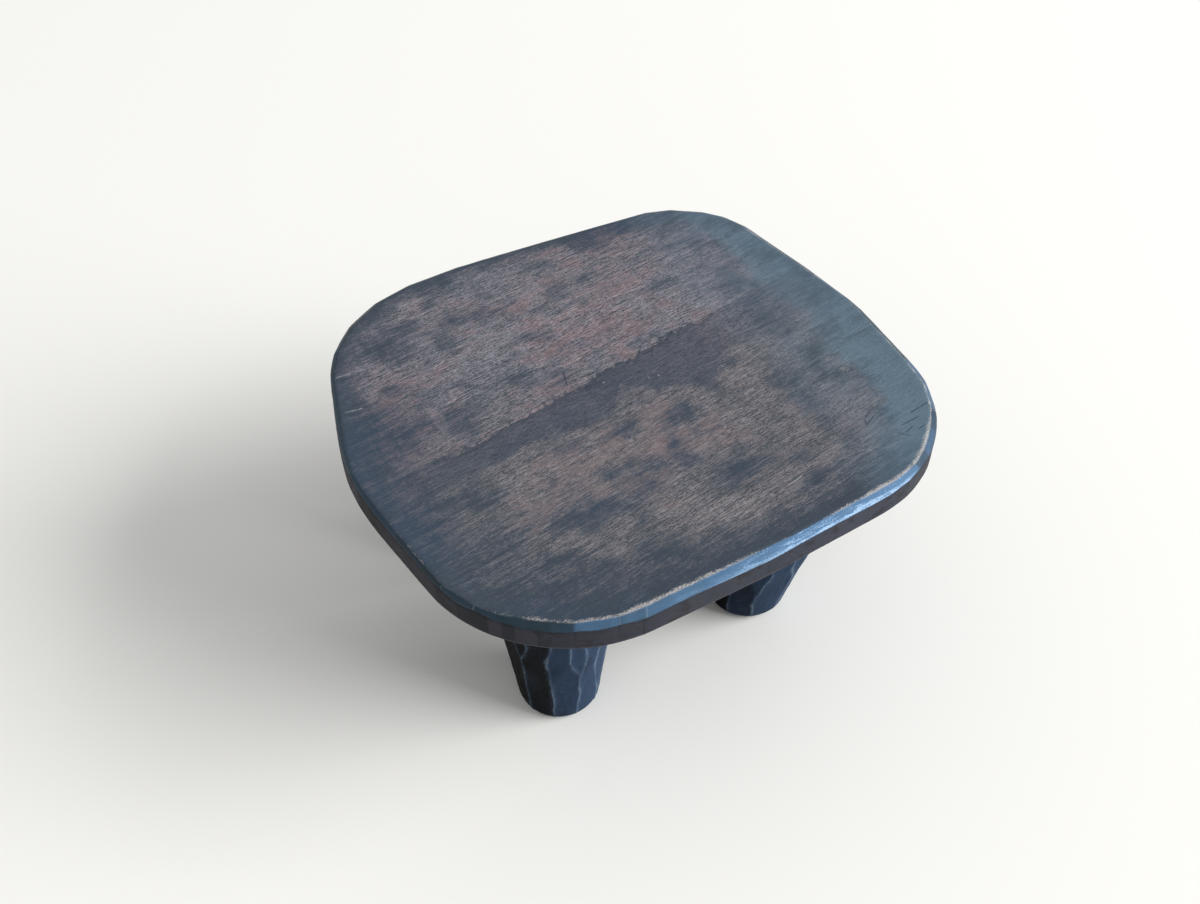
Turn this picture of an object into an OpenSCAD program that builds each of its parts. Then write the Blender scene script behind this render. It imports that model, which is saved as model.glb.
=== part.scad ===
// Low four-legged carved wooden stool.
// A thick rounded seat with a knife-cut edge stands on four short hewn legs.
// Each leg widens towards the seat and ends in a round tenon in a blind mortise.
// X runs along the grain, Z is up, and the floor is at z = 0.

/* [Seat] */
// Length of the seat along the grain
seat_len = 476; // [440:1:520]
// Width of the seat across the grain
seat_wid = 432; // [400:1:440]
// Thickness of the seat
seat_thick = 25; // [22:1:34]
// How much tighter in radius the right end's bow is than the left end's
bow_less = 8; // [6:1:40]
// How far the right end's bow stays inside the front side
bow_in = 1.5; // [0:0.5:6]
// Front left corner: radius, then how far it stays inside the end and the side
corner_front_left = [130, 9, 0]; // [0:0.5:140]
// Front right corner, given the same way
corner_front_right = [126, 7, 4.5]; // [0:0.5:140]
// Back left corner, given the same way
corner_back_left = [130, 23, 0]; // [0:0.5:140]
// Back right corner, given the same way
corner_back_right = [94, 14.5, 12]; // [0:0.5:140]

/* [Top edge] */
// Width of the bevel along the top edge, seen from above
bevel_w = 7; // [4:0.5:10]
// Depth of the bevel down the side
bevel_h = 5.5; // [3:0.5:8]
// Number of flat knife cuts that make the bevel, each turned as far from the last
bevel_cuts = 22; // [16:1:30]
// Number of cuts more, set evenly round the edge so that its flatter sides are cut too
side_cuts = 16; // [12:1:24]
// How much the cuts differ from each other
bevel_uneven = 0.12; // [0:0.02:0.2]

/* [Legs] */
// Height from the floor to the top of the seat
stool_h = 240; // [220:1:260]
// Radius of a leg at the floor, over its ridges
foot_r = 36; // [32:1:40]
// Radius of the slight hollow curve that a leg's taper follows
leg_curve_r = 3000; // [2000:100:6000]
// Number of flat adze strokes that make up each cut's curve
strokes = 5; // [4:1:8]
// Rounding of the foot's lower edge
foot_round = 6; // [3:0.5:9]
// Number of flat adze cuts round a leg
leg_cuts = 11; // [8:1:12]
// How much deeper or shallower than the rest an adze cut goes
leg_uneven = 0.8; // [0:0.1:1.2]
// Front left leg: how far its centre is from the seat's end and from its side
in_front_left = [121.5, 124.5]; // [100:0.5:150]
// Front right leg, given the same way
in_front_right = [149.5, 131]; // [100:0.5:150]
// Back left leg, given the same way
in_back_left = [128, 120]; // [100:0.5:150]
// Back right leg, given the same way
in_back_right = [140, 126]; // [100:0.5:150]
// Front left leg's taper: how much it widens per millimetre of height, then more toward +X and +Y
taper_front_left = [0.09, 0, 0]; // [-0.1:0.01:0.18]
// Front right leg's taper, given the same way
taper_front_right = [0.15, 0.08, -0.05]; // [-0.1:0.01:0.18]
// Back left leg's taper, given the same way
taper_back_left = [0.09, -0.01, 0.01]; // [-0.1:0.01:0.18]
// Back right leg's taper, given the same way
taper_back_right = [0.12, 0.03, 0.03]; // [-0.1:0.01:0.18]

/* [Joints] */
// Radius of the tenon on a leg's top
tenon_r = 18; // [14:1:24]
// Length of the tenon
tenon_len = 15; // [10:1:16]
// Gap all round between the tenon and its mortise
tenon_gap = 0.15; // [0.1:0.05:0.3]
// Gap between the tenon's end and the mortise's floor
end_gap = 0.5; // [0.3:0.1:1]
// Bevel on the tenon's end
tenon_bevel = 1.5; // [0.5:0.5:2]

/* [Hidden] */
$fn = 64;
half_len = seat_len / 2;
half_wid = seat_wid / 2;
// Underside of the seat, where the legs' shoulders meet it
under_z = stool_h - seat_thick;
// Centres of the legs
front_left = leg_at(-1, -1, in_front_left);
front_right = leg_at(1, -1, in_front_right);
back_left = leg_at(-1, 1, in_back_left);
back_right = leg_at(1, 1, in_back_right);
// Facets round each disc of the outline, hewn rather than smooth
edge_fn = 40;
// The flat cuts lie this much closer to the leg's axis than its ridges
flat_k = cos(180 / leg_cuts);

// The left end's bow is as wide as the seat, and the right end's is tighter
right_bow_r = half_wid - bow_less;
function leg_at(sx, sy, inside) = [sx * (half_len - inside[0]), sy * (half_wid - inside[1])];
function corner(sx, sy, c) =
    [sx * (half_len - c[1] - c[0]), sy * (half_wid - c[2] - c[0]), c[0]];
// Discs, as [x, y, radius], that the outline is stretched round
discs = [
    corner(-1, -1, corner_front_left),
    corner(1, -1, corner_front_right),
    corner(-1, 1, corner_back_left),
    corner(1, 1, corner_back_right),
    [half_wid - half_len, 0, half_wid],
    [half_len - right_bow_r, bow_in - bow_less, right_bow_r]
];
// Distance from the axis to the outline's edge in direction a
function reach(a) = max([for (d = discs) d[0] * cos(a) + d[1] * sin(a) + d[2]]);
// Direction, in whole degrees, that the outline's edge faces where it lies in direction p
function facing(p) =
    let (turns = [for (t = [round(p) - 45 : round(p) + 45]) t])
    let (spans = [for (t = turns) reach(t) / cos(t - p)])
    turns[search(min(spans), spans)[0]];

module outline() {
    hull()
        for (d = discs)
            translate([d[0], d[1]])
                circle(r = d[2], $fn = edge_fn);
}

// One flat cut along the top edge on the side that faces direction a
module bevel_cut(a) {
    w = bevel_w * (1 + bevel_uneven * sin(131 * a));
    h = bevel_h * (1 + bevel_uneven * sin(77 * a + 40));
    rotate([0, 0, a])
        translate([reach(a) - w, 0, stool_h])
            rotate([0, atan2(h, w), 0])
                translate([-40, -seat_len / 2, 0])
                    cube([90, seat_len, 30]);
}

module mortise(at) {
    translate([at[0], at[1], under_z - 1])
        cylinder(h = tenon_len + end_gap + 1, r = tenon_r + tenon_gap);
}

module seat() {
    color("#4b4c54")
    difference() {
        translate([0, 0, under_z])
            linear_extrude(height = seat_thick)
                outline();
        for (i = [0:bevel_cuts - 1])
            bevel_cut(round((i + 0.3) * 360 / bevel_cuts));
        for (i = [0:side_cuts - 1])
            bevel_cut(facing(i * 360 / side_cuts));
        for (at = [front_left, front_right, back_left, back_right])
            mortise(at);
    }
}

// How much a leg with this taper widens per millimetre of height on the side that faces direction a
function widening(taper, a) = taper[0] + taper[1] * cos(a) + taper[2] * sin(a);
// How far a side that widens so has moved out by height z
function moved_out(slope, z) = slope * z + z * z / (2 * leg_curve_r);
// Point of a foot's edge rounded by r, from its sole at 0 to the leg's side at 90
function sole(q, r) = r * [sin(q) - 1, 1 - cos(q)];

// One adze cut down a leg, facing direction a: flat across, hollow along
module adze_cut(a, d, turn, slope) {
    flat_r = foot_r * flat_k + d;
    edge_r = foot_round * (1 + 0.2 * sin(3 * turn));
    top_z = under_z + 20;
    far = 6 * foot_r;
    rotate([0, 0, a])
        translate([flat_r, 0, 0])
            rotate([90, 0, 0])
                linear_extrude(height = far, center = true)
                    polygon(concat(
                        [2 * sole(0, edge_r) - sole(40, edge_r), sole(40, edge_r), sole(90, edge_r)],
                        [for (k = [1:strokes])
                            let (e = 0.25 * sin(turn + 130 * k) * sin(180 * k / strokes))
                            let (z = top_z * (k + e) / strokes)
                            [moved_out(slope, z), z]],
                        [[far, top_z], [far, -foot_round]]
                    ));
}

module tenon() {
    translate([0, 0, under_z])
        rotate_extrude()
            polygon([
                [0, -5],
                [tenon_r, -5],
                [tenon_r, tenon_len - tenon_bevel],
                [tenon_r - tenon_bevel, tenon_len],
                [0, tenon_len]
            ]);
}

// A whole leg; hand turns its pattern of cuts, so that no two legs are alike
module leg(at, taper, hand) {
    color("#35414d")
    translate([at[0], at[1], 0]) {
        difference() {
            cylinder(h = under_z, r = 3 * foot_r);
            for (i = [0:leg_cuts - 1])
                let (a = i * 360 / leg_cuts + hand + 6 * sin(137 * i + 3 * hand))
                    adze_cut(a, leg_uneven * sin(97 * i + 2 * hand), 71 * i + hand, widening(taper, a));
        }
        tenon();
    }
}

module leg_front_left() { leg(front_left, taper_front_left, 21); }
module leg_front_right() { leg(front_right, taper_front_right, 31); }
module leg_back_left() { leg(back_left, taper_back_left, 5); }
module leg_back_right() { leg(back_right, taper_back_right, 23); }

seat();
leg_front_left();
leg_front_right();
leg_back_left();
leg_back_right();
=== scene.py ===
import math
import random

import bmesh
import bpy
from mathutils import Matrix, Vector, noise


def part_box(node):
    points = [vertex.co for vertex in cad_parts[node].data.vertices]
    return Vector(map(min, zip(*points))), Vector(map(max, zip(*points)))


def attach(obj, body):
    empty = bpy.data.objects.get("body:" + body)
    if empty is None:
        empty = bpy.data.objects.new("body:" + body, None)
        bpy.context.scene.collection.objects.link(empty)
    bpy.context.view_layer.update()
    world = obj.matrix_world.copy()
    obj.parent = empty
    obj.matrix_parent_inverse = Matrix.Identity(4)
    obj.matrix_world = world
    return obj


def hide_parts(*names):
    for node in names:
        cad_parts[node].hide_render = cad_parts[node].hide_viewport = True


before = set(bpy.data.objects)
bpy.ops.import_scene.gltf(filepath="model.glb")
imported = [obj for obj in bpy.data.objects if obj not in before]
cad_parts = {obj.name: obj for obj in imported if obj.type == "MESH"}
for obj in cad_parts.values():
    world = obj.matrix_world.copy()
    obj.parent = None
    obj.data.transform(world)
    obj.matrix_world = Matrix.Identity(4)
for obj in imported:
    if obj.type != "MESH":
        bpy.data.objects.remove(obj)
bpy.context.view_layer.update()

MM = 0.001
SEAT_LOW, SEAT_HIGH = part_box("seat")
HALF_LEN, HALF_WID = SEAT_HIGH.x, SEAT_HIGH.y
TOP_Z, UNDER_Z = SEAT_HIGH.z, SEAT_LOW.z
FULL_TURN = 2 * math.pi
# A cut or stroke counts in a direction only where the cosine of its turn from it is above this
STILL_FACING = 0.5
# Cuts that meet at less than this bend are taken to meet at it
LEAST_BEND = 0.02
# Distance at which a ridge between two cuts no longer shows
RIDGE_FAR = 5 * MM

# Camera: where it aims, and from how far and which way it looks, in metres and degrees
CAMERA_AIM = (-0.0562, -0.0607, 0.24)
CAMERA_DISTANCE = 1.0466
CAMERA_AZIMUTH = 30.55
CAMERA_ELEVATION = 45.44
CAMERA_LENS = 39.61

# Seat outline: for each corner the side it is on along X and Y, its radius,
# and how far it stays inside the end and the side
CORNERS = (
    (-1, -1, 130 * MM, 9 * MM, 0),
    (1, -1, 126 * MM, 7 * MM, 4.5 * MM),
    (-1, 1, 130 * MM, 23 * MM, 0),
    (1, 1, 94 * MM, 14.5 * MM, 12 * MM),
)
# How much tighter in radius the right end's bow is than the left end's, and how far it
# stays inside the front side
RIGHT_BOW_LESS = 8 * MM
RIGHT_BOW_IN = 1.5 * MM

# Flat cuts round the side: how many, how uneven in spacing, and how deep, in millimetres
SIDE_CUTS = 92
SIDE_UNEVEN = 0.6
SIDE_DEPTH = (0.1, 0.6)
# Knife cuts of the bevel along the top edge
BEVEL_CUTS = 22
BEVEL_CUTS_MORE = 16
BEVEL_WIDTH = 7 * MM
BEVEL_DEPTH = 5.5 * MM
BEVEL_UNEVEN = 0.12
EDGE_ROUND = 0.5 * MM
# By direction in degrees, the shares of that width and of that depth that the knife took off
WIDTH_SHARE = ((-180, 0.5), (-150, 0.4), (-120, 1), (120, 1), (145, 0.7), (180, 0.5))
DEPTH_SHARE = ((-180, 0.8), (-150, 1.2), (-120, 1), (120, 1), (145, 0.7), (180, 0.8))

# Legs
FOOT_RADIUS = 36 * MM
LEG_CURVE_RADIUS = 3.0
LEG_CUTS = 11
FLAT_SHARE = math.cos(math.pi / LEG_CUTS)
FOOT_ROUND = 7 * MM
FOOT_RISE = 10 * MM
# Shares of the radius at which the sole has its rows, and how far it reaches to the foot
SOLE_SHARES = (0, 0.2, 0.4, 0.6, 0.75)
SOLE_REACH = 0.97
TENON_RADIUS = 18 * MM
TENON_LENGTH = 15 * MM
TENON_BEVEL = 1.5 * MM
TENON_GAP = 0.15 * MM
MORTISE_END_GAP = 0.5 * MM
# The tool that bores a mortise: its facets, and how far it starts below the underside
BORE_SIDES = 96
BORE_START = 4 * MM
# Radius of the inner row of the shoulder round a tenon, as a share of the tenon's radius
SHOULDER_SHARE = 1.2
# Legs by name: the seed of each one's strokes, the turn of its first cut in degrees, and its
# taper, which is how much it widens per metre of height all round, and the extra towards +X
# and towards +Y
LEGS = {
    "leg_front_left": (12, 21, 0.09, 0, 0),
    "leg_front_right": (31, 31, 0.15, 0.08, -0.05),
    "leg_back_left": (5, 5, 0.09, -0.01, 0.01),
    "leg_back_right": (23, 23, 0.12, 0.03, 0.03),
}
# Chips off the ridges of every leg: which ridge and how high up, then their half length and depth
CHIPS = ((7, 0.105), (8, 0.07), (1, 0.15), (3, 0.08), (5, 0.13), (10, 0.1))
CHIP_HALF, CHIP_DEPTH = 0.03, -0.2 * MM
# Middle heights of the tiers of adze strokes on a leg, from the foot up, how far each tier
# is turned from the one below as a share of a stroke, and how hollow a stroke is
STROKE_TIERS = (0.035, 0.125, 0.205)
TIER_TURN = 0.06
STROKE_HOLLOW = 1 * MM
# Strokes that meet at less than this bend leave no ridge to see
SHARP_BEND = 0.22


def smooth(value, low, high):
    """0 at low, 1 at high and a soft step between them"""
    t = min(max((value - low) / (high - low), 0), 1)
    return t * t * (3 - 2 * t)


def ripple(x, y, z=0.0):
    """Even noise from -1 to 1, with hills one unit apart"""
    return noise.noise(Vector((x, y, z)))


def between(stops, place):
    """Value at a place, eased from stop to stop, each a place and its value"""
    for (start, first), (end, second) in zip(stops, stops[1:]):
        if place <= end:
            return first + (second - first) * smooth(place, start, end)
    return stops[-1][1]


def spun(section, steps):
    """A closed solid that is the section turned about the Z axis.
    Each vertex keeps its place in the section in the layer row."""
    mesh = bmesh.new()
    row = mesh.verts.layers.int.new("row")
    points = []
    for index, (radius, height) in enumerate(section):
        point = mesh.verts.new((radius, 0, height))
        point[row] = index
        points.append(point)
    lines = [mesh.edges.new(pair) for pair in zip(points, points[1:])]
    bmesh.ops.spin(
        mesh, geom=points + lines, cent=(0, 0, 0), axis=(0, 0, 1),
        angle=FULL_TURN, steps=steps, use_merge=True,
    )
    bmesh.ops.remove_doubles(mesh, verts=mesh.verts, dist=1e-7)
    bmesh.ops.recalc_face_normals(mesh, faces=mesh.faces)
    return mesh


def finished(mesh, name, material):
    """The object that a bmesh becomes, smooth and at the origin"""
    for face in mesh.faces:
        face.smooth = True
    data = bpy.data.meshes.new(name)
    mesh.to_mesh(data)
    mesh.free()
    data.materials.append(material)
    made = bpy.data.objects.new(name, data)
    bpy.context.scene.collection.objects.link(made)
    return made


def outline_discs():
    """Discs, as x, y and radius, that the seat's outline is stretched round"""
    discs = [
        (sx * (HALF_LEN - end - r), sy * (HALF_WID - side - r), r)
        for sx, sy, r, end, side in CORNERS
    ]
    right_r = HALF_WID - RIGHT_BOW_LESS
    discs.append((HALF_WID - HALF_LEN, 0, HALF_WID))
    discs.append((HALF_LEN - right_r, RIGHT_BOW_IN - RIGHT_BOW_LESS, right_r))
    return discs


DISCS = outline_discs()


def reach(a):
    """Distance from the axis to the outline's edge in direction a"""
    return max(x * math.cos(a) + y * math.sin(a) + r for x, y, r in DISCS)


def nearest_cut(cuts, a):
    """Radius in direction a inside straight cuts, how far away the ridge to the next cut
    is, and the number of the nearest one. A cut starts with its direction and distance."""
    found = sorted(
        (cut[1] / math.cos(a - cut[0]), number)
        for number, cut in enumerate(cuts) if math.cos(a - cut[0]) > STILL_FACING
    )
    (first, number), (second, other) = found[:2]
    bend = abs(math.tan(a - cuts[number][0]) - math.tan(a - cuts[other][0]))
    return first, (second - first) / max(bend, LEAST_BEND), number


def side_cuts():
    """Straight cuts round the seat's side, each a little deeper or shallower"""
    pick = random.Random(7)
    cuts = []
    for i in range(SIDE_CUTS):
        turn = (i + SIDE_UNEVEN * pick.uniform(-1, 1)) * FULL_TURN / SIDE_CUTS
        cuts.append((turn, reach(turn) - pick.uniform(*SIDE_DEPTH) * MM))
    return cuts


def facing(place):
    """Direction that the outline's edge faces where it lies in a direction, in whole degrees"""
    turns = range(round(place) - 45, round(place) + 46)
    return min(turns, key=lambda t: reach(math.radians(t)) / math.cos(math.radians(t - place)))


def bevel_cuts():
    """Knife cuts of the bevel: direction, distance of the top edge, width and depth.
    Some are turned evenly, and some are placed evenly so that the flatter sides are cut too."""
    turns = {round((i + 0.3) * 360 / BEVEL_CUTS) for i in range(BEVEL_CUTS)}
    turns |= {facing(i * 360 / BEVEL_CUTS_MORE) % 360 for i in range(BEVEL_CUTS_MORE)}
    cuts = []
    for turn in sorted(turns):
        width = BEVEL_WIDTH * (1 + BEVEL_UNEVEN * math.sin(math.radians(131 * turn)))
        depth = BEVEL_DEPTH * (1 + BEVEL_UNEVEN * math.sin(math.radians(77 * turn + 40)))
        width *= between(WIDTH_SHARE, (turn + 180) % 360 - 180)
        depth *= between(DEPTH_SHARE, (turn + 180) % 360 - 180)
        a = math.radians(turn)
        cuts.append((a, reach(a) - width, width, depth))
    return cuts


SMOOTH_SIDE = [(math.radians(2 * i), reach(math.radians(2 * i))) for i in range(180)]
SIDE = side_cuts()
BEVEL = bevel_cuts()


def bevel_height(a, radius):
    """Height of the bevel's surface at a radius in direction a"""
    return min(
        TOP_Z - (radius * math.cos(a - turn) - far) * depth / width
        for turn, far, width, depth in BEVEL
        if math.cos(a - turn) > STILL_FACING
    )


# The seat's section, from the middle of the top down to the middle of the underside.
# Distances are in millimetres: on the top from its edge inward, on the underside too.
# On the bevel and the side they are shares of the way down.
TOP_RINGS = [0, 0.5, 1.1, 1.8, 2.6, 3.6, 4.8, 6.2, 8] + [8 + 3.2 * i for i in range(1, 57)]
BEVEL_ROWS = [0.08, 0.25, 0.45, 0.65, 0.85, 1]
SIDE_ROWS = [0.04, 0.12, 0.24, 0.36, 0.48, 0.6, 0.72, 0.83, 0.92]
UNDER_EASE = [(0, 1.1), (0.3, 0.5), (0.8, 0.15), (1.6, 0)]
UNDER_RINGS = [3, 5, 8] + [8 + 6 * i for i in range(1, 33)]
# Radius at which the section is spun, before the outline shapes it, and the steps round it
SPIN_RADIUS = 0.22
SEAT_STEPS = 620
# Depths of the top's hollow and of its waves, in millimetres
TOP_HOLLOW = 0.9
TOP_WAVE = 0.35
# Adze dishes over the underside: length, width, least and most depth in millimetres, and
# how far from a leg's axis they fade out and are whole
MARK_LONG, MARK_WIDE = 46 * MM, 27 * MM
MARK_DEPTH = (0.5, 1.1)
MARK_CLEAR = (66 * MM, 84 * MM)


def seat_section():
    """Rows of the section, each with its part, its measure, and its place before shaping"""
    edge = SPIN_RADIUS - BEVEL_WIDTH
    side_top = TOP_Z - BEVEL_DEPTH
    rows = [("middle", 0, 0, TOP_Z)]
    for far in reversed(TOP_RINGS):
        rows.append(("top", far * MM, edge - far * MM, TOP_Z))
    for share in BEVEL_ROWS:
        rows.append(("bevel", share, edge + share * BEVEL_WIDTH, TOP_Z - share * BEVEL_DEPTH))
    for share in SIDE_ROWS:
        rows.append(("side", share, SPIN_RADIUS, side_top - share * (side_top - UNDER_Z)))
    for inset, rise in UNDER_EASE:
        rows.append(("ease", inset * MM, SPIN_RADIUS - inset * MM, UNDER_Z + rise * MM))
    for far in UNDER_RINGS:
        rows.append(("under", far * MM, SPIN_RADIUS - far * MM, UNDER_Z))
    rows.append(("middle", 1, 0, UNDER_Z))
    return rows


def top_dip(x, y, inward):
    """How far the top has worn down: a slight hollow, and long low waves with the grain"""
    across = (x / HALF_LEN) ** 2 + (y / HALF_WID) ** 2
    hollow = TOP_HOLLOW * max(0, 1 - across)
    waves = TOP_WAVE * (1 + ripple(9 * x, 24 * y, 2)) * smooth(inward, 0, 15 * MM)
    return (hollow + waves) * MM


def under_marks():
    """The underside's adze dishes by column and row: x, y, depth and turn"""
    pick = random.Random(19)
    marks = {}
    for i in range(-6, 7):
        for j in range(-9, 10):
            x = (i + 0.5 * (j % 2) + pick.uniform(-0.25, 0.25)) * MARK_LONG
            y = (j + pick.uniform(-0.25, 0.25)) * MARK_WIDE
            marks[i, j] = (x, y, pick.uniform(*MARK_DEPTH) * MM, pick.uniform(-0.3, 0.3))
    return marks


UNDER_MARKS = under_marks()


def under_rise(x, y):
    """How far the adze went into the underside at x, y"""
    row, column = round(y / MARK_WIDE), round(x / MARK_LONG)
    deepest = 0
    for i in range(column - 2, column + 2):
        for j in range(row - 2, row + 3):
            if (i, j) in UNDER_MARKS:
                mark_x, mark_y, depth, turn = UNDER_MARKS[i, j]
                along = (x - mark_x) + turn * (y - mark_y)
                across = (y - mark_y) - turn * (x - mark_x)
                away = math.hypot(along / MARK_LONG, across / MARK_WIDE) / 0.8
                deepest = max(deepest, depth * (1 - away ** 2))
    clear = min(math.hypot(x - cx, y - cy) for cx, cy in LEG_CENTRES.values())
    return deepest * smooth(clear, *MARK_CLEAR)


def leg_centre(name):
    """Axis of a leg, from the middle of its tenon in the frame"""
    top = [v.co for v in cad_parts[name].data.vertices if v.co.z > UNDER_Z + 1 * MM]
    xs, ys = [p.x for p in top], [p.y for p in top]
    return (min(xs) + max(xs)) / 2, (min(ys) + max(ys)) / 2


LEG_CENTRES = {name: leg_centre(name) for name in LEGS}

# Where dabs of stain are left on the worn top, in millimetres: x, y, half length and half
# width. Each holds this share of the stain in its middle.
DAB_HOLD = 0.55
STAIN_DABS = (
    (-118, 157, 9, 14), (-90, 177, 10, 10), (-162, 146, 22, 17), (-145, 134, 14, 14),
    (-85, 147, 16, 12), (-50, 139, 18, 7), (15, 140, 8, 14), (42, 141, 18, 5),
    (17, 175, 14, 7), (75, 180, 12, 9), (112, 185, 18, 8), (135, 140, 24, 8),
    (160, 138, 10, 10), (107, 95, 21, 5), (-39, 94, 8, 7), (-26, 84, 6, 5),
    (-70, 50, 8, 13), (-114, 65, 6, 6), (-192, 66, 34, 17), (-210, 48, 18, 13),
    (-137, 26, 9, 18), (-165, 90, 8, 10), (-105, 120, 8, 13), (166, 66, 10, 18),
    (-75, 192, 14, 9), (65, -42, 9, 14), (27, -56, 22, 10), (-27, -47, 14, 8),
    (1, -84, 9, 15), (-3, -101, 14, 8), (-37, -88, 16, 9), (-65, -85, 9, 8),
    (-112, -110, 24, 10), (-80, -118, 20, 6), (122, -98, 12, 30), (95, -22, 11, 7),
    (35, -131, 14, 6), (-60, -131, 13, 6), (-137, -142, 12, 5), (85, -145, 18, 7),
    (124, -152, 9, 7), (-70, -170, 20, 13), (-117, -168, 18, 14), (80, -171, 28, 11),
    (-160, -153, 16, 14), (-174, 38, 19, 14), (38, -132, 34, 17), (-84, -112, 26, 9),
    (158, 30, 15, 60), (122, -60, 16, 20), (-158, -52, 18, 12), (158, -70, 12, 30),
    (-125, 31, 14, 11), (-40, 31, 16, 8), (-80, -41, 14, 8), (-162, -95, 13, 22),
    (-40, -111, 14, 9), (-100, -131, 12, 8), (-166, -10, 17, 9), (-132, 158, 14, 9),
)
# Where the top is rubbed lightest, written the same way, and how much each adds to the wear
RUB_GAIN = 0.17
RUBBED_SPOTS = (
    (60, 80, 75, 34), (-60, 100, 60, 30), (-90, 165, 40, 14), (10, 140, 40, 16), (-45, -68, 42, 7),
    (47, -37, 9, 6), (30, -48, 45, 10), (-20, -160, 60, 10), (95, 40, 40, 12), (-200, 128, 16, 10),
    (-155, 174, 26, 10), (135, -160, 40, 14), (165, 165, 16, 12),
)
# By direction in degrees, all in millimetres: how far in from the edge the stain is
# whole or patchy, and how wide the top edge is worn down to pale wood
STAINED_RIM = (
    (-180, 84), (-140, 100), (-115, 76), (-95, 40), (-75, 44), (-45, 66), (0, 80), (45, 58),
    (90, 20), (135, 24), (155, 36), (168, 70), (180, 84),
)
PALE_RIM = (
    (-175, 0), (-160, 0.5), (-141, 0.5), (-132, 0.9), (-124, 2.1), (-116, 2.4), (-106, 2),
    (-97, 1), (-88, 0.4), (-78, 0.5), (-68, 1.6), (-52, 2.4), (-38, 1.6), (-25, 0.7), (-5, 0.3),
    (15, 1), (50, 1.2), (65, 0.5), (80, 0),
)
# By direction in degrees, how far the bevel and side are painted a light blue, a painted highlight
# where the lamp would catch them
PAINTED_EDGE_HIGHLIGHT = (
    (-180, 0), (-140, 0.12), (-128, 0.42), (-116, 0.46), (-106, 0.57), (-95, 0.66),
    (-82, 0.8), (-70, 0.98), (-58, 0.82), (-50, 0.32), (-30, 0.3), (0, 0.25), (60, 0.12), (180, 0),
)
# Lower edge of the dark band across the top, as x and y in millimetres, and how far from
# it the band is measured
BAND_FOOT = (
    (-240, -45), (-150, -36), (-95, -26), (-35, -33), (25, -27), (65, -39), (105, -12),
    (155, -4), (240, 10),
)
BAND_FAR = 40


def wear_at(x, y, inward, a):
    """How far the stain is worn off the top at x, y: 0 none, 1 down to the wood"""
    sway_x = x + 9 * ripple(0.04 * x, 0.05 * y, 1) + 4 * ripple(0.14 * x, 0.17 * y, 2)
    sway_y = y + 7 * ripple(0.04 * x, 0.05 * y, 3) + 3 * ripple(0.14 * x, 0.17 * y, 4)
    rim = between(STAINED_RIM, math.degrees(a)) * (1 + 0.45 * ripple(0.03 * x, 0.03 * y, 5))
    wear = smooth(inward, -0.1 * rim, rim)
    for spot_x, spot_y, half_long, half_wide in RUBBED_SPOTS:
        away = math.hypot((sway_x - spot_x) / half_long, (sway_y - spot_y) / half_wide)
        wear += RUB_GAIN * (1 - smooth(away, 0.2, 1.5))
    for dab_x, dab_y, half_long, half_wide in STAIN_DABS:
        away = math.hypot((sway_x - dab_x) / half_long, (sway_y - dab_y) / half_wide)
        if away < 2:
            wear *= 1 - DAB_HOLD * (1 - smooth(away, 0, 2))
    return wear


def painted_sheen_at(x, y):
    """How far a blue sheen, a painted reflection, covers the top at x, y: most along the right end
    """
    sway = 14 * ripple(0.02 * x, 0.02 * y, 6) + 5 * ripple(0.09 * x, 0.09 * y, 7)
    wide = 0.4 * smooth(x + sway, 80, 155)
    near = smooth(x + sway, 164, 188) * (0.3 + 0.3 * smooth(-y + sway, 20, 90))
    left = 0.12 * smooth(-x + sway, 140, 215)
    front = 0.22 * smooth(-y + sway, 120, 165) * smooth(x, 70, 130)
    return wide + near + left + front


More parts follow.
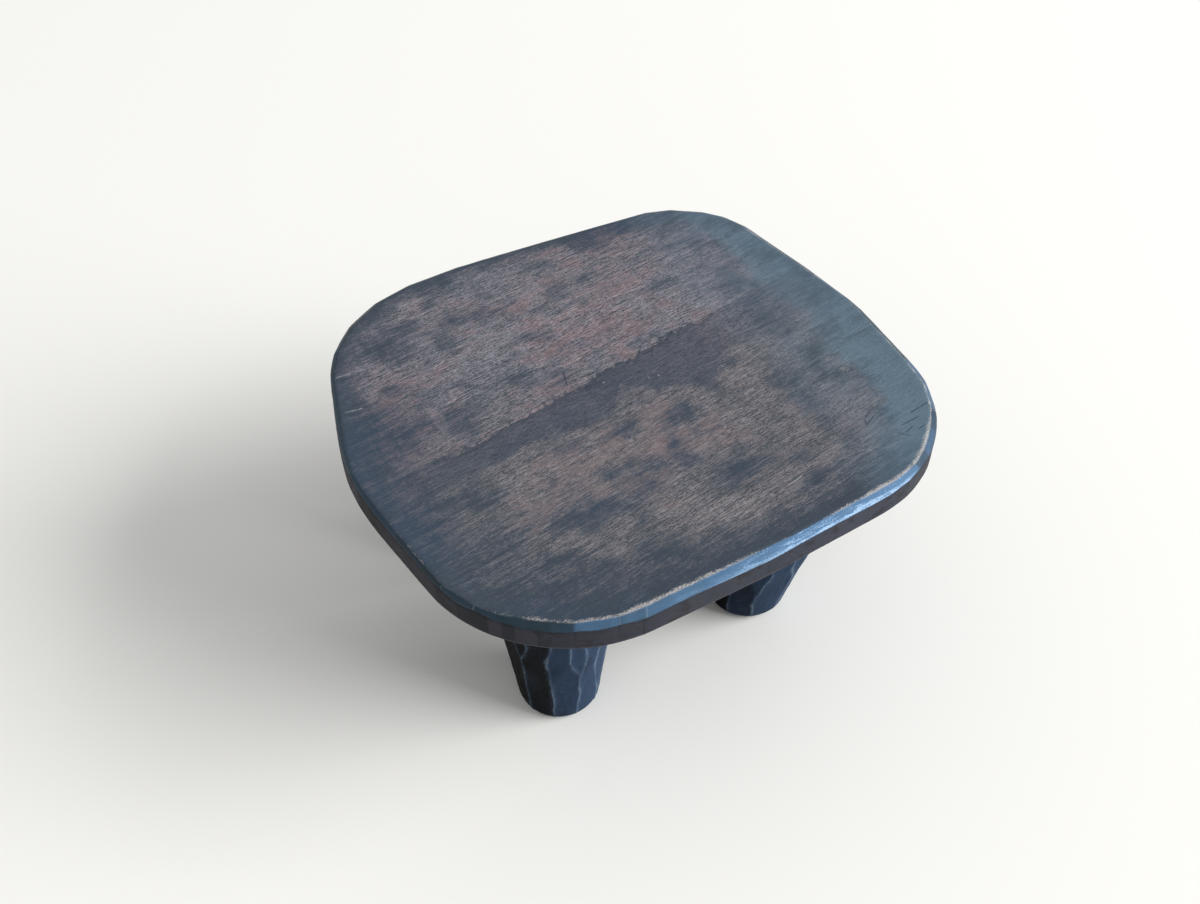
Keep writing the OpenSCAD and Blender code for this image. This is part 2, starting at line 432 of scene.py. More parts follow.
def seat_mesh():
    """The seat: the section spun, then cut to the outline and marked by the tools"""
    rows = seat_section()
    mesh = spun([(radius, height) for part, measure, radius, height in rows], SEAT_STEPS)
    row = mesh.verts.layers.int["row"]
    layers = mesh.verts.layers.float
    inward, down, worn = layers.new("inward"), layers.new("down"), layers.new("worn")
    # The first of these holds the painted sheen on the top and the painted highlight on the bevel
    # and side
    painted_highlight, pale, tone = layers.new("painted_highlight"), layers.new("pale"), layers.new("tone")
    ridge, band = layers.new("ridge"), layers.new("band")
    pick = random.Random(3)
    bevel_tones = [pick.random() for cut in BEVEL]
    side_tones = [pick.random() for cut in SIDE]
    turns = []
    for i in range(SEAT_STEPS):
        a = (i - SEAT_STEPS // 2) * FULL_TURN / SEAT_STEPS
        wide, wave = math.cos(a), math.sin(a)
        chips = 0.12 * ripple(90 * wide, 90 * wave) - 0.1
        flat_side, side_ridge, side_cut = nearest_cut(SIDE, a)
        side = (flat_side + nearest_cut(SMOOTH_SIDE, a)[0]) / 2 + chips * MM
        ragged = 0.4 * ripple(22 * wide, 22 * wave, 4) + 0.25 * ripple(70 * wide, 70 * wave, 9)
        flat_edge, bevel_ridge, bevel_cut = nearest_cut(BEVEL, a)
        edge = flat_edge + ragged * MM
        tones = bevel_tones[bevel_cut], side_tones[side_cut]
        turns.append((a, side, edge, tones, (bevel_ridge, side_ridge)))
    for point in mesh.verts:
        part, measure, radius, height = rows[point[row]]
        if part == "middle":
            point.co = (0, 0, TOP_Z - top_dip(0, 0, 1) if measure == 0 else UNDER_Z)
            point[inward] = 1
            point[worn] = 0.9
            point[down] = 3 * measure
            continue
        step = round(math.atan2(point.co.y, point.co.x) * SEAT_STEPS / FULL_TURN)
        a, side, edge, tones, ridges = turns[(step + SEAT_STEPS // 2) % SEAT_STEPS]
        point[ridge] = RIDGE_FAR
        degrees = math.degrees(a)
        z = height
        if part == "top":
            r = radius / (SPIN_RADIUS - BEVEL_WIDTH) * edge
            x, y = r * math.cos(a), r * math.sin(a)
            point[inward] = edge - r
            z -= EDGE_ROUND * math.exp(-(edge - r) / (0.9 * MM)) + top_dip(x, y, edge - r)
            point[worn] = wear_at(x / MM, y / MM, (edge - r) / MM, a)
            # Painted sheen: how strongly a blue reflection is painted over the top here
            point[painted_highlight] = painted_sheen_at(x / MM, y / MM)
            above = y / MM - between(BAND_FOOT, x / MM)
            point[band] = min(max(above, -BAND_FAR), BAND_FAR)
        elif part == "bevel":
            r = edge + measure * (side - edge)
            x, y = r * math.cos(a), r * math.sin(a)
            knife = 0.3 * MM * ripple(70 * x, 70 * y, 3)
            z = bevel_height(a, r) - EDGE_ROUND * math.exp(-measure / 0.12) + knife * measure
            z = min(z, TOP_Z - EDGE_ROUND)
            r -= EDGE_ROUND * smooth(measure, 0.8, 1)
            point[down] = measure
            point[tone] = tones[0]
            point[ridge] = min(ridges[0], RIDGE_FAR)
        elif part == "side":
            low = bevel_height(a, side)
            z = low + measure * (UNDER_Z + UNDER_EASE[0][1] * MM - low)
            r = side - 0.25 * MM * (1 - smooth(measure, 0, 0.12))
            r -= 0.3 * MM * abs(ripple(16 * a, 60 * z, 5))
            point[down] = 1 + measure
            point[tone] = tones[1]
            point[ridge] = min(ridges[1], RIDGE_FAR)
        elif part == "ease":
            r = side - measure
            point[down] = 2 + min(measure / (2 * MM), 1)
        else:
            r = max(side * (1 - measure / SPIN_RADIUS), 0)
            z += under_rise(r * math.cos(a), r * math.sin(a)) * smooth(measure, 2 * MM, 12 * MM)
            point[down] = 3
        point[pale] = between(PALE_RIM, degrees)
        if part != "top":
            # Painted highlight: the bevel and side painted lighter blue on the side towards the
            # lamp
            point[painted_highlight] = between(PAINTED_EDGE_HIGHLIGHT, degrees)
        x, y = r * math.cos(a), r * math.sin(a)
        x = min(max(x, SEAT_LOW.x), SEAT_HIGH.x)
        y = min(max(y, SEAT_LOW.y), SEAT_HIGH.y)
        point.co = (x, y, z)
    return mesh


def leg_strokes(seed, first_turn, round_taper, taper_x, taper_y):
    """Adze strokes on a leg: direction, slope, middle height, half length and depth"""
    pick = random.Random(seed)
    strokes = []
    chips = [(ridge + 0.5, height, CHIP_HALF, CHIP_DEPTH) for ridge, height in CHIPS]
    cut = FULL_TURN / LEG_CUTS
    flats = [
        (
            i + TIER_TURN * tier + pick.uniform(-0.1, 0.1), middle + pick.uniform(-0.02, 0.02),
            pick.uniform(0.06, 0.08), pick.uniform(-0.4, 0.4) * MM,
        )
        for tier, middle in enumerate(STROKE_TIERS) for i in range(LEG_CUTS)
    ]
    for place, height, half, depth in flats + chips:
        turn = math.radians(first_turn) + place * cut
        slope = round_taper + taper_x * math.cos(turn) + taper_y * math.sin(turn)
        strokes.append((turn, slope, height, half, depth))
    return strokes


def carved_radius(strokes, a, z):
    """Radius in direction a at height z inside all the strokes, how far away the nearest
    sharp ridge is, and the number of the nearest stroke"""
    found = []
    for number, (turn, slope, middle, half, depth) in enumerate(strokes):
        facing = math.cos(a - turn)
        if facing > STILL_FACING:
            flat = FOOT_RADIUS * FLAT_SHARE + depth + slope * z + z * z / (2 * LEG_CURVE_RADIUS)
            scoop = STROKE_HOLLOW * ((z - middle) / half) ** 2
            climb = slope + z / LEG_CURVE_RADIUS + 2 * STROKE_HOLLOW * (z - middle) / half ** 2
            found.append(((flat + scoop) / facing, math.tan(a - turn), climb, number))
    found.sort()
    first, turned, climb, number = found[0]
    away = 1
    for other, next_turned, next_climb, _ in found[1:5]:
        bend = math.hypot(turned - next_turned, climb - next_climb)
        if bend > SHARP_BEND:
            away = min(away, (other - first) / bend)
    return first, away, number


# By direction in degrees, how blue the legs are painted, from 0 for black: blue-black stain,
# painted lighter on the sides that face the lamp and darker, as painted shade, on the sides turned
# away; how far it differs from stroke to stroke, and how blue the soles are
LEG_STAIN_AND_SHADE = (
    (-180, 0.22), (-150, 0.42), (-120, 0.72), (-90, 0.93), (-60, 1), (-30, 0.93), (0, 0.82),
    (60, 0.72), (105, 0.66), (135, 0.35), (155, 0.15), (180, 0.25),
)
LEG_TONE_SPREAD = 0.07
SOLE_TONE = 0.3
# Steps round a leg, and rows along its shank and round its foot
LEG_STEPS = 240
LEG_ROWS = 84
FOOT_ROWS = 10


def leg_section():
    """Rows of a leg's section from the middle of the sole up to the end of the tenon"""
    rows = [("sole", share, share * FOOT_RADIUS, 0) for share in SOLE_SHARES]
    for i in range(FOOT_ROWS):
        turn = math.pi / 2 * i / (FOOT_ROWS - 1)
        inset = FOOT_ROUND * (1 - math.sin(turn))
        rows.append(("foot", inset, FOOT_RADIUS - inset, FOOT_RISE * (1 - math.cos(turn))))
    for i in range(1, LEG_ROWS + 1):
        z = FOOT_RISE + (UNDER_Z - FOOT_RISE) * i / LEG_ROWS
        rows.append(("shank", 0, FOOT_RADIUS, z))
    tenon_top = UNDER_Z + TENON_LENGTH
    rows.append(("tenon", 0, SHOULDER_SHARE * TENON_RADIUS, UNDER_Z))
    rows.append(("tenon", 0, TENON_RADIUS, UNDER_Z))
    rows.append(("tenon", 0, TENON_RADIUS, tenon_top - TENON_BEVEL))
    rows.append(("tenon", 0, TENON_RADIUS - TENON_BEVEL, tenon_top))
    rows.append(("tenon", 0, 0, tenon_top))
    return rows


def leg_mesh(name, seed, first_turn, *taper):
    """A leg: its section spun, then carved by the strokes"""
    rows = leg_section()
    mesh = spun([(radius, height) for part, measure, radius, height in rows], LEG_STEPS)
    row = mesh.verts.layers.int["row"]
    ridge = mesh.verts.layers.float.new("ridge")
    tone = mesh.verts.layers.float.new("tone")
    strokes = leg_strokes(seed, first_turn, *taper)
    # Each stroke's tone: stain, painted lighter towards the lamp and painted shade on the sides
    # turned away
    tones = [
        between(LEG_STAIN_AND_SHADE, (math.degrees(stroke[0]) + 180) % 360 - 180)
        + LEG_TONE_SPREAD * math.sin(2.4 * (number % LEG_CUTS) + seed)
        for number, stroke in enumerate(strokes)
    ]
    centre_x, centre_y = LEG_CENTRES[name]
    for point in mesh.verts:
        part, measure, radius, z = rows[point[row]]
        a = math.atan2(point.co.y, point.co.x)
        r = radius
        point[ridge] = RIDGE_FAR
        if part != "tenon":
            wander = 0.12 * ripple(1.5 * a, 13 * z, seed) + 0.05 * ripple(6 * a, 45 * z, seed)
            wander += 0.025 * ripple(14 * a, 130 * z, seed)
            carved, away, number = carved_radius(strokes, a + wander, z)
            point[ridge] = min(away, RIDGE_FAR)
            point[tone] = tones[number]
            slope = taper[0] + taper[1] * math.cos(a) + taper[2] * math.sin(a)
            even = 0.975 * FOOT_RADIUS + slope * z + z * z / (2 * LEG_CURVE_RADIUS)
            side = even + (carved - even) * (0.12 + 0.88 * smooth(z, 0, 60 * MM))
            rough = 0.15 * MM * ripple(9 * a, 30 * z, seed)
            rough += 0.12 * MM * ripple(30 * a, 60 * z, seed)
            side += rough
            side += 0.25 * MM * math.exp(-(away / MM) ** 2)
            if part == "sole":
                r = measure / SOLE_SHARES[-1] * SOLE_REACH * (side - FOOT_ROUND)
                point[ridge] = RIDGE_FAR
                point[tone] = SOLE_TONE
            else:
                r = side - measure
        point.co = (centre_x + r * math.cos(a), centre_y + r * math.sin(a), z)
    return mesh


class Wire:
    """An output of a node. Sums on it add Math nodes."""

    def __init__(self, bench, socket):
        self.bench = bench
        self.socket = socket

    def beside(self, name):
        """Another output of the same node"""
        return Wire(self.bench, self.socket.node.outputs[name])

    def sum(self, operation, *values):
        return self.bench.node("Math", {"operation": operation}, dict(enumerate(values)))

    def __add__(self, other):
        return self.sum("ADD", self, other)

    def __sub__(self, other):
        return self.sum("SUBTRACT", self, other)

    def __rsub__(self, other):
        return self.sum("SUBTRACT", other, self)

    def __mul__(self, other):
        return self.sum("MULTIPLY", self, other)

    def __truediv__(self, other):
        return self.sum("DIVIDE", self, other)

    def __abs__(self):
        return self.sum("ABSOLUTE", self)

    __radd__ = __add__
    __rmul__ = __mul__

    def step(self, low, high):
        """0 below low, 1 above high and a soft step between them"""
        return self.bench.node(
            "MapRange", {"interpolation_type": "SMOOTHSTEP"},
            {"Value": self, "From Min": low, "From Max": high},
        )


class Bench:
    """A material or a world whose nodes are being laid out"""

    def __init__(self, made):
        made.use_nodes = True
        self.tree = made.node_tree
        self.tree.nodes.clear()

    def node(self, kind, settings=None, inputs=None, output=0):
        """Adds a node, sets it, fills its sockets with values or wires, and gives an output"""
        made = self.tree.nodes.new("ShaderNode" + kind)
        for name, value in (settings or {}).items():
            setattr(made, name, value)
        for name, value in (inputs or {}).items():
            if isinstance(value, Wire):
                self.tree.links.new(value.socket, made.inputs[name])
            else:
                made.inputs[name].default_value = value
        return Wire(self, made.outputs[output]) if made.outputs else None


class Finish(Bench):
    """A material in the making"""

    def __init__(self, name):
        self.material = bpy.data.materials.new(name)
        super().__init__(self.material)
        self.place = self.node("TexCoord", output="Object")

    def attribute(self, name):
        return self.node("Attribute", {"attribute_name": name}, output="Fac")

    def grain(self, size, detail=2, roughness=0.55, distortion=0.0, turn=0.0, shift=(0, 0, 0)):
        """Noise about 0 with hills of a size in millimetres along each axis, turned about Z"""
        place = self.node(
            "Mapping", {"vector_type": "TEXTURE"},
            {
                "Vector": self.place, "Location": shift, "Rotation": (0, 0, math.radians(turn)),
                "Scale": [length * MM for length in size],
            },
        )
        return self.node(
            "TexNoise", {},
            {
                "Vector": place, "Scale": 1, "Detail": detail,
                "Roughness": roughness, "Distortion": distortion,
            },
        ) - 0.5

    def mix(self, share, first, second):
        """Colour that goes from first at 0 to second at 1"""
        return self.node("Mix", {"data_type": "RGBA"}, {0: share, 6: first, 7: second}, 2)

    def marks(self, along, level, lines, wobble):
        """1 on short lines, each from x, y to x, y, and its width, in millimetres"""
        found = 0
        for x0, y0, x1, y1, width in lines:
            length = math.hypot(x1 - x0, y1 - y0)
            ux, uy = (x1 - x0) / length, (y1 - y0) / length
            forth = (along * ux + level * uy) / MM - (x0 * ux + y0 * uy)
            aside = (along * uy - level * ux) / MM - (x0 * uy - y0 * ux) + wobble * 1.5
            mark = 1 - abs(aside).step(0.2 * width, 0.6 * width)
            found = found + mark * forth.step(-1, 0.5) * (1 - forth.step(length - 0.5, length + 1))
        return found.step(0, 1)

    def bump(self, height, strength, distance):
        inputs = {"Height": height, "Strength": strength, "Distance": distance}
        return self.node("Bump", {}, inputs, "Normal")

    def surface(self, **sockets):
        """Ends the finish with its shader, whose sockets are given with _ for spaces"""
        inputs = {name.replace("_", " "): value for name, value in sockets.items()}
        shader = self.node("BsdfPrincipled", {}, inputs, "BSDF")
        self.node("OutputMaterial", {}, {"Surface": shader})
        return self.material


def paint(red, green, blue):
    """A colour written as on a screen, 0 to 255, for a shader"""
    def linear(value):
        share = value / 255
        return share / 12.92 if share <= 0.04045 else ((share + 0.055) / 1.055) ** 2.4
    return (linear(red), linear(green), linear(blue), 1)


GRAIN_TURN = 7
# Upper edge of the dark band across the top: its height in the middle and its slope
BAND_HEIGHT = 20.4 * MM
BAND_SLOPE = 0.157
BLUE_SHEEN = (0.5, 0.76, 1, 1)
# Scratches and creases on the top, each from x, y to x, y, and its width, in millimetres
LIGHT_MARKS = (
    (-12, 9, -11, 9, 1.6), (24, -5, 25, -5, 1.4), (33, -7, 33, -6, 1.4), (-114, 84, -111, 86, 1.2),
    (-69, 58, -67, 58, 1.2), (-203, 127, -190, 126, 1), (-186, 127, -178, 125, 1),
    (-212, 84, -198, 82, 1), (52, -165, 66, -163, 1.2),
)
DARK_MARKS = (
    (-40, 21, -34, 39, 1.6), (150, -136, 163, -130, 1.4), (146, -143, 158, -138, 1.2),
    (148, -137, 146, -143, 1), (186, -150, 205, -148, 1.4), (168, -166, 176, -164, 1.3),
    (178, -169, 185, -167, 1.2), (170, -158, 188, -157, 1), (162, -164, 168, -171, 1.1),
)
# Bare and worn wood of the top
ROSY_WOOD = paint(161, 144, 149)
GREY_WOOD = paint(144, 144, 153)
TAN_WOOD = paint(142, 138, 140)
WOOD_PORE = paint(58, 56, 62)
WARM_WOOD = paint(122, 106, 106)
SMOKED_WOOD = paint(80, 82, 88)
PALE_WOOD = paint(178, 173, 169)
SCRATCHED_WOOD = paint(170, 165, 168)
# Stain, and the painted blue sheen over it, a painted reflection
SLATE_STAIN = paint(58, 66, 76)
BLUE_STAIN = paint(54, 65, 80)
STAINED_FIBRE = paint(90, 96, 106)
PAINTED_SHEEN_LOW = paint(80, 99, 113)
PAINTED_SHEEN_HIGH = paint(107, 126, 140)
# The dark band and the scores across it
BAND_LOW = paint(54, 60, 71)
BAND_HIGH = paint(82, 87, 98)
BAND_LINE = paint(42, 48, 58)
DARK_SCORE = paint(38, 48, 58)
LIGHT_SCORE = paint(160, 164, 166)
# Knife cuts of the bevel, with a painted highlight and painted glints
KNIFE_DARK = paint(40, 52, 59)
KNIFE_BLUE = paint(46, 61, 75)
KNIFE_LIT = paint(78, 110, 142)
KNIFE_GLINT = paint(168, 198, 230)
KNIFE_CREASE = paint(112, 126, 138)
# Side and underside, with a painted highlight on the side
SIDE_LOW = paint(28, 26, 28)
SIDE_HIGH = paint(49, 47, 53)
SIDE_PAINTED_HIGHLIGHT = paint(55, 57, 66)
SIDE_BROWN = paint(34, 28, 27)
SIDE_CREASE = paint(24, 22, 23)
SIDE_WORN = paint(92, 88, 90)
UNDER_LOW = paint(40, 35, 33)
UNDER_HIGH = paint(62, 53, 49)
# Legs: blue-black stain; the lightest blue is painted light on the sides that face the lamp
LEG_BLACK = paint(8, 8, 9)
LEG_BLUE = paint(39, 53, 73)
LEG_PAINTED_LIT_BLUE = paint(46, 61, 82)
LEG_GREY = paint(26, 27, 31)
LEG_FIBRE = paint(62, 80, 104)
LEG_GLOW = paint(76, 94, 116)
LEG_RIDGE = paint(112, 130, 147)
LEG_NICK = paint(92, 110, 130)


def seat_finish():
    """Slate stain rubbed over brown wood, with blue knife cuts along the edge, and a painted blue
    sheen, painted highlight and painted glints where the lamp would catch them
    """
    f = Finish("seat_stained_wood")
    inward, down, worn = f.attribute("inward"), f.attribute("down"), f.attribute("worn")
    # The first of these holds the painted sheen on the top and the painted highlight on the bevel
    # and side
    painted_highlight, pale, tone = f.attribute("painted_highlight"), f.attribute("pale"), f.attribute("tone")
    ridge, foot = f.attribute("ridge"), f.attribute("band")
    fibre = f.grain((3.2, 0.8, 0.8), 2, 0.7, 0.2, GRAIN_TURN)
    thread = f.grain((13, 1, 1), 2, 0.6, 0.6, GRAIN_TURN, (0.6, 0.3, 0))
    speck = f.grain((1.1, 0.8, 0.8), 1, 0.5, 0, 0, (0.2, 0.2, 0))
    streak = f.grain((55, 5, 5), 4, 0.62, 0.5, GRAIN_TURN, (0.3, 0.5, 0))
    rubbing = f.grain((7, 42, 12), 3, 0.6, 0.4, -4, (0.4, 0.2, 0))
    smudge = f.grain((30, 19, 19), 4, 0.6, 0.5, GRAIN_TURN, (0.8, 0.1, 0))
    cloud = f.grain((120, 90, 90), 3, 0.5, 0.3, 0, (0.1, 0.7, 0))
    scratch = f.grain((24, 0.7, 0.7), 2, 0.6, 0.5, GRAIN_TURN + 1, (0.1, 0.4, 0))
    fine = fibre * 0.8 + thread * 0.8 + speck * 0.5

    # Wood that goes from rosy to grey, and stain, both lighter and darker along the fibres
    along = f.node("SeparateXYZ", {}, {"Vector": f.place}, "X")
    level = along.beside("Y")
    rosy = (cloud + smudge * 0.8 + streak * 0.4 + rubbing * 0.2).step(-0.2, 0.18)
    rosy = f.mix(rosy, GREY_WOOD, ROSY_WOOD)
    light = f.mix((level + cloud / 10).step(-0.04, 0.04), TAN_WOOD, rosy)
    wood = f.mix(fine.step(-0.24, 0.25), WOOD_PORE, light)
    wood = f.mix((cloud + smudge).step(-0.05, 0.25) * 0.5, wood, WARM_WOOD)
    wood = f.mix((rubbing + smudge * 0.6).step(0.04, 0.26) * 0.5, wood, SMOKED_WOOD)
    stain = f.mix((cloud + smudge).step(-0.15, 0.15), SLATE_STAIN, BLUE_STAIN)
    stain = f.mix(fine.step(-0.05, 0.3) * 0.33, stain, STAINED_FIBRE)
    # Painted sheen: a blue reflection painted over the top, most along its right end
    painted_sheen = (painted_highlight + smudge * painted_highlight * 1.5 + streak * painted_highlight).step(0, 1)
    bare = worn * 0.9 + smudge * 1.2 + rubbing * 0.6 + streak * 1.2 + fine * 0.25
    bare = bare.step(0.0, 1.25)
    top = f.mix(bare, stain, wood)
    top = f.mix(scratch.step(0.1, 0.2) * bare * 0.5, top, SCRATCHED_WOOD)
    painted_sheen_colour = f.mix(fine.step(-0.4, 0.4), PAINTED_SHEEN_LOW, PAINTED_SHEEN_HIGH)
    top = f.mix(painted_sheen * 0.85, top, painted_sheen_colour)

    # The dark band has a crisp upper edge and a soft, uneven lower one
    across = (level - along * BAND_SLOPE - BAND_HEIGHT) / MM
    across = across + streak * 15 + rubbing * 16 + smudge * 8 + speck * 4
    below = 1 - across.step(-2, 1.5)
    ends = along.step(-0.22, -0.14) * (1 - along.step(0.06, 0.175))
    band = below * (foot + smudge * 36 + rubbing * 14).step(-5, 8) * (0.25 + 0.75 * ends)
    dark = f.mix(fine.step(-0.3, 0.3), BAND_LOW, BAND_HIGH)
    top = f.mix(band * (0.85 + smudge), top, dark)
    line = below * across.step(-7, -1) * ends
    top = f.mix(line * (0.4 - smudge), top, BAND_LINE)
    scored = f.marks(along, level, DARK_MARKS, speck)
    top = f.mix(scored * 0.6, top, DARK_SCORE)
    top = f.mix(f.marks(along, level, LIGHT_MARKS, speck) * 0.6, top, LIGHT_SCORE)

    # Pale wood where the top edge is worn
    rubbed = (pale - inward / MM * 0.9 + smudge * 6 + fibre * 4 + speck * 4).step(0.2, 2.2)
    rubbed = rubbed * pale.step(0, 0.9) * (0.4 + 0.4 * speck.step(-0.06, 0.1))
    top = f.mix(rubbed, top, PALE_WOOD)

    # Bevel, side and underside
    crease = 1 - (ridge / MM + smudge * 3 + speck).step(0.1, 0.9)
    knife = f.mix((tone - 0.5 + cloud * 2).step(-0.5, 0.5), KNIFE_DARK, KNIFE_BLUE)
    # Painted highlight: the knife cuts painted lighter blue where the lamp would catch them
    lit = (painted_highlight + (tone - 0.5) * 0.35 + smudge * 0.5).step(0.1, 0.95)
    knife = f.mix(lit, knife, KNIFE_LIT)
    # Painted glints: pale specks painted along the bevel where it is painted as lit
    glint = f.grain((22, 22, 1.2), 3, 0.65, 0.5, 0, (0.5, 0.9, 0.1))
    sparkle = (down * 0.8 + speck * 1.2 + glint * 2.4).step(0.4, 0.95) * painted_highlight.step(0.45, 0.9)
    knife = f.mix(sparkle * 0.8, knife, KNIFE_GLINT)
    knife = f.mix(crease * 0.35, knife, KNIFE_CREASE)
    knife = f.mix(rubbed * (1 - down.step(0.05, 0.25)), knife, PALE_WOOD)
    mottle = f.grain((10, 10, 7), 4, 0.65, 0.4, 0, (0.9, 0.4, 0))
    side = f.mix((tone - 0.5 + smudge * 1.5).step(-0.5, 0.5), SIDE_LOW, SIDE_HIGH)
    # Painted highlight: the side painted bluer where the lamp would catch it
    side = f.mix(painted_highlight, side, SIDE_PAINTED_HIGHLIGHT)
    side = f.mix((mottle + smudge).step(0.02, 0.22) * 0.6, side, SIDE_BROWN)
    side = f.mix(crease * 0.4, side, SIDE_CREASE)
    colour = f.mix(down.step(0.0, 0.08), top, knife)
    colour = f.mix((down + speck * 0.1).step(0.97, 1.03), colour, side)
    low_edge = (down + speck * 0.2).step(1.93, 1.98) * (1 - down.step(2.1, 2.5))
    colour = f.mix(low_edge * 0.3, colour, SIDE_WORN)
    under = f.mix((fibre + streak).step(-0.2, 0.2), UNDER_LOW, UNDER_HIGH)
    colour = f.mix(down.step(2.2, 2.8), colour, under)

    cut = down.step(0.0, 0.08) * (1 - down.step(0.97, 1.03))
    rough = 0.6 + fibre * 0.3 + bare * 0.1 - cut * 0.22
    relief = fine * 0.8 + streak * 0.2 - scored * 0.6
    return f.surface(
        Base_Color=colour, Roughness=rough, Specular_IOR_Level=0.12, Specular_Tint=BLUE_SHEEN,
        Normal=f.bump(relief, 0.6, 0.5 * MM),
    )


def leg_finish():
    """Blue-black stain on adzed wood, rubbed lighter along the ridges, painted lighter on the
    sides that face the lamp and darker, as painted shade, on the sides turned away
    """
    f = Finish("leg_stained_wood")
    ridge, tone = f.attribute("ridge"), f.attribute("tone")
    fibre = f.grain((2, 2, 14), 3, 0.6, 0.2)
    patch = f.grain((18, 18, 30), 4, 0.6, 0.4, 0, (0.4, 0.2, 0.1))
    speck = f.grain((2, 2, 3), 2, 0.6, 0, 0, (0.7, 0.3, 0.1))
    # How blue the leg is painted: its stain, with painted shade on the sides turned away from the
    # lamp and painted light on those that face it
    blue = tone + patch * 0.4
    stain = f.mix(blue.step(0.44, 0.86), LEG_BLACK, LEG_BLUE)
    stain = f.mix(blue.step(0.8, 1.05), stain, LEG_PAINTED_LIT_BLUE)
    stain = f.mix((patch + speck * 0.4).step(0.06, 0.2) * 0.4, stain, LEG_GREY)
    # Lighter fibres only on the sides painted as lit
    lighter = (fibre + speck * 0.5).step(0, 0.3) * blue.step(0.3, 0.9)
    stain = f.mix(lighter * 0.24, stain, LEG_FIBRE)
    glow = 1 - (ridge / MM + speck * 2).step(0.2, 3.6)
    # The paler band by the ridges is painted stronger on the lit sides
    stain = f.mix(glow * 0.22 * (0.4 + blue), stain, LEG_GLOW)
    line = 1 - (ridge / MM + patch * 4 + speck * 1.8).step(0.2, 1.3)
    # Ridge lines painted fainter on the sides in painted shade
    line = line * (0.42 + patch * 3.2) * (0.3 + 0.7 * tone.step(0.1, 0.7))
    colour = f.mix(line, stain, LEG_RIDGE)
    nick = f.grain((5, 5, 1.6), 1, 0.5, 0.3, 0, (0.2, 0.8, 0.5))
    colour = f.mix(nick.step(0.2, 0.27) * 0.3, colour, LEG_NICK)
    rough = 0.55 + fibre * 0.3
    relief = fibre * 0.5 + speck * 0.4
    return f.surface(
        Base_Color=colour, Roughness=rough, Specular_IOR_Level=0.03, Specular_Tint=BLUE_SHEEN,
        Normal=f.bump(relief, 0.4, 0.4 * MM),
    )


def cut_mortises(seat):
    """Cuts the four blind mortises into the underside, each a gap wider than its tenon"""
    bores = bmesh.new()
    depth = TENON_LENGTH + MORTISE_END_GAP
    bore_radius, bore_length = TENON_RADIUS + TENON_GAP, depth + BORE_START
    for x, y in LEG_CENTRES.values():
        made = bmesh.ops.create_cone(
            bores, cap_ends=True, segments=BORE_SIDES, radius1=bore_radius, radius2=bore_radius,
            depth=bore_length,
        )
        middle = UNDER_Z + depth - bore_length / 2
        bmesh.ops.translate(bores, verts=made["verts"], vec=(x, y, middle))
    cutter = finished(bores, "mortise_cutter", seat.data.materials[0])
    cut = seat.modifiers.new("mortises", "BOOLEAN")
    cut.operation = "DIFFERENCE"
    cut.solver = "EXACT"
    cut.object = cutter
    graph = bpy.context.evaluated_depsgraph_get()
    solid = bpy.data.meshes.new_from_object(seat.evaluated_get(graph))
    seat.modifiers.clear()
    seat.data = solid
    bpy.data.objects.remove(cutter)


def build_seat():
    seat = finished(seat_mesh(), "carved_seat", seat_finish())
    cut_mortises(seat)
    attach(seat, "root")
    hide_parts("seat")


def build_legs():
    finish = leg_finish()
    for name, carving in LEGS.items():
        leg = finished(leg_mesh(name, *carving), "hewn_" + name, finish)
        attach(leg, "root")
        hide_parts(name)


# Floor: half its width in metres, and its colour
FLOOR_HALF = 30
FLOOR_COLOUR = (0.87, 0.865, 0.84, 1)
# Lamp: the way to it in degrees round and up, its distance and size in metres, and its level
WINDOW = (-37, 25, 20, 15, 0.555)
SKY_LEVEL = 0.57
BACKDROP = (0.93, 0.93, 0.92, 1)


def build_floor():
    f = Finish("pale_floor")
    mesh = bmesh.new()
    bmesh.ops.create_grid(mesh, x_segments=1, y_segments=1, size=FLOOR_HALF)
    pale = f.surface(Base_Color=FLOOR_COLOUR, Roughness=0.9, Specular_IOR_Level=0.0)
    finished(mesh, "floor", pale)


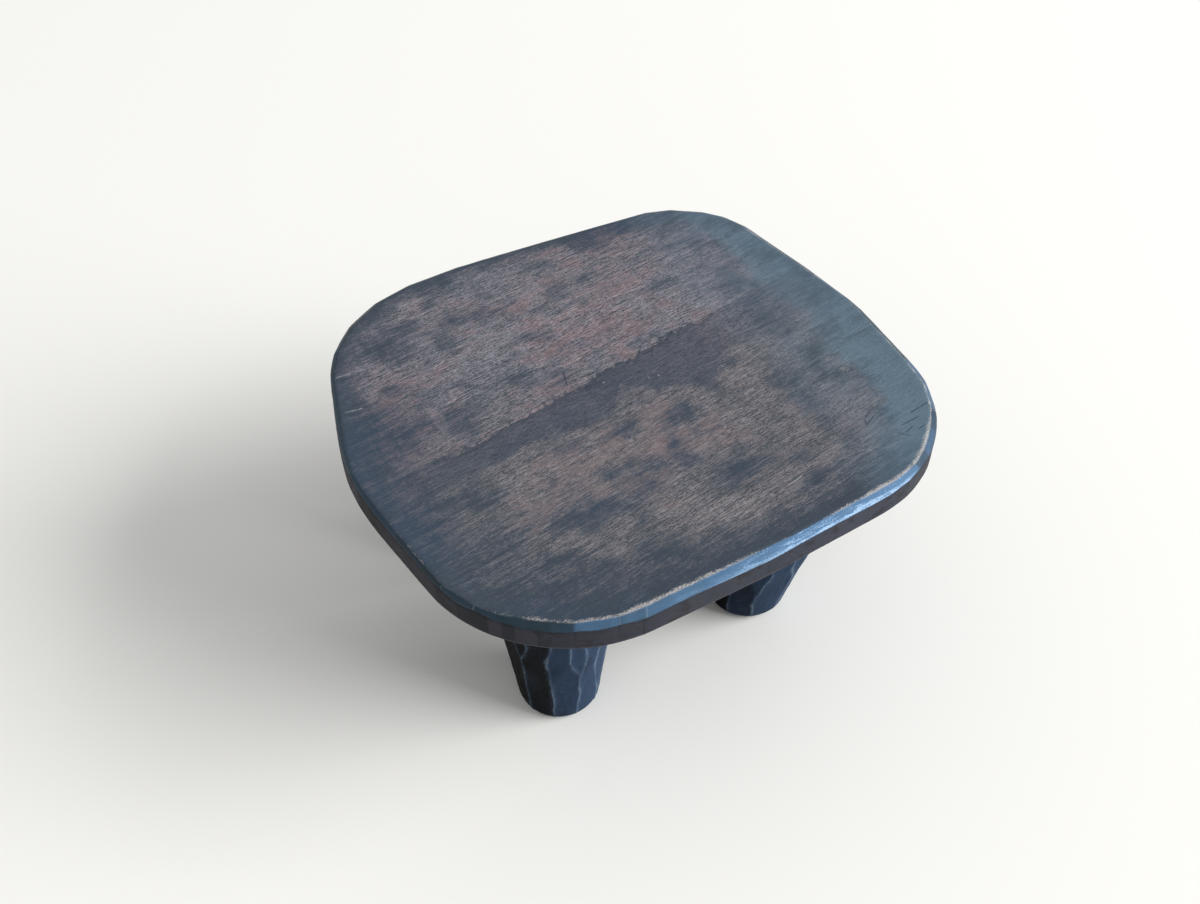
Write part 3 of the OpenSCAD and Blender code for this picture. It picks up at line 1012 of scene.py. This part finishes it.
def build_camera():
    azimuth, elevation = math.radians(CAMERA_AZIMUTH), math.radians(CAMERA_ELEVATION)
    look = Vector((
        math.sin(azimuth) * math.cos(elevation),
        math.cos(azimuth) * math.cos(elevation),
        -math.sin(elevation),
    ))
    data = bpy.data.cameras.new("camera")
    data.lens = CAMERA_LENS
    camera = bpy.data.objects.new("camera", data)
    camera.location = Vector(CAMERA_AIM) - look * CAMERA_DISTANCE
    camera.rotation_euler = look.to_track_quat("-Z", "Y").to_euler()
    bpy.context.scene.collection.objects.link(camera)
    bpy.context.scene.camera = camera


def soft_lamp(name, azimuth, elevation, distance, size, level):
    """A square of light that faces the stool. Its level is the share of a white floor's
    full brightness that it gives."""
    data = bpy.data.lights.new(name, "AREA")
    data.shape = "SQUARE"
    data.size = size
    azimuth, elevation = math.radians(azimuth), math.radians(elevation)
    spread = 1 + size ** 2 / (6 * distance ** 2)
    data.energy = level * math.pi ** 2 * distance ** 2 * spread ** 2 / math.sin(elevation)
    lamp = bpy.data.objects.new(name, data)
    toward = Vector((
        math.cos(azimuth) * math.cos(elevation),
        math.sin(azimuth) * math.cos(elevation),
        math.sin(elevation),
    ))
    lamp.location = toward * distance
    lamp.rotation_euler = (-toward).to_track_quat("-Z", "Y").to_euler()
    bpy.context.scene.collection.objects.link(lamp)


def build_light():
    """A soft lamp and an even sky, in place of which the camera and reflections see a backdrop"""
    soft_lamp("window", *WINDOW)
    world = bpy.data.worlds.new("studio")
    b = Bench(world)
    rays = b.node("LightPath", output="Is Camera Ray")
    seen = rays
    for way in ("Is Transmission Ray", "Is Glossy Ray"):
        seen = b.node("Math", {"operation": "MAXIMUM"}, {0: seen, 1: rays.beside(way)})
    sky = b.node("Background", {}, {"Color": (1, 1, 1, 1), "Strength": SKY_LEVEL})
    backdrop = b.node("Background", {}, {"Color": BACKDROP})
    mixed = b.node("MixShader", {}, {0: seen, 1: sky, 2: backdrop})
    b.node("OutputWorld", {}, {"Surface": mixed})
    bpy.context.scene.world = world
    bpy.context.scene.view_settings.view_transform = "Standard"


build_camera()
build_floor()
build_light()
build_seat()
build_legs()
